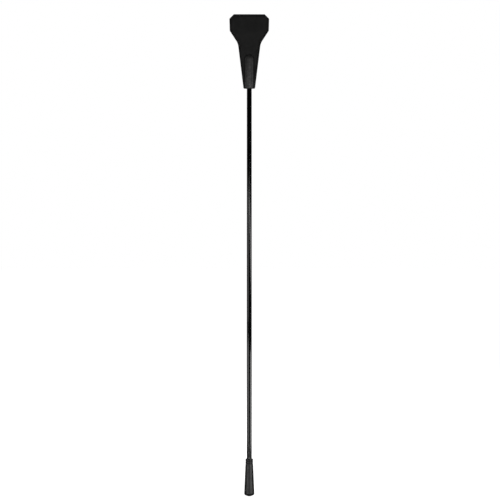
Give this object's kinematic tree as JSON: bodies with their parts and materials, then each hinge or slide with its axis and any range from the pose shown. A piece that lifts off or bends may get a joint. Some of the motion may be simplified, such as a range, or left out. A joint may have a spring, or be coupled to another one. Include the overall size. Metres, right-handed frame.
{
  "type": "riding crop",
  "caption": "Short black riding crop: gloss-jacketed straight rod, wide stitched leather popper that bends above the rod's tip, small flared grip.",
  "frame": {"origin": "centre of the small flat on the butt cap, at the very bottom of the crop", "axes": "+Z along the rod from butt to popper, +X across the popper's width, the popper's faces look along -Y (front) and +Y (back)"},
  "size_m": [0.0544, 0.0138, 0.66],
  "materials": {
    "core_fibreglass": "pultruded fibreglass, off-white, hidden inside the jacket",
    "jacket_gloss": "smooth glossy black jacket",
    "leather": "matt black grain leather with painted edges",
    "thread": "black waxed polyester thread",
    "grip_rubber": "satin moulded rubber, dark grey-black",
    "moulded_rubber": "smooth moulded rubber or vinyl, black",
    "cap_nylon": "satin moulded nylon, black"
  },
  "bodies": {
    "crop": {"shaft_core": "core_fibreglass", "shaft_jacket": "jacket_gloss", "tip_whipping": "thread", "tip_cap": "moulded_rubber", "popper_sleeve_front": "leather", "popper_sleeve_back": "leather", "channel_stitching": "thread", "sleeve_edge_stitching": "thread", "grip": "grip_rubber", "grip_collar": "moulded_rubber", "butt_cap": "cap_nylon"},
    "flap": {"popper_blade_front": "leather", "popper_blade_back": "leather", "blade_edge_stitching": "thread"}
  },
  "joints": [
    {"name": "popper_flex", "type": "hinge", "parent": "crop", "child": "flap", "pos_m": [0, 0, 0.613], "axis": [1, 0, 0], "range_deg": [-60, 60], "stiffness_Nm_per_rad": 0.12}
  ]
}
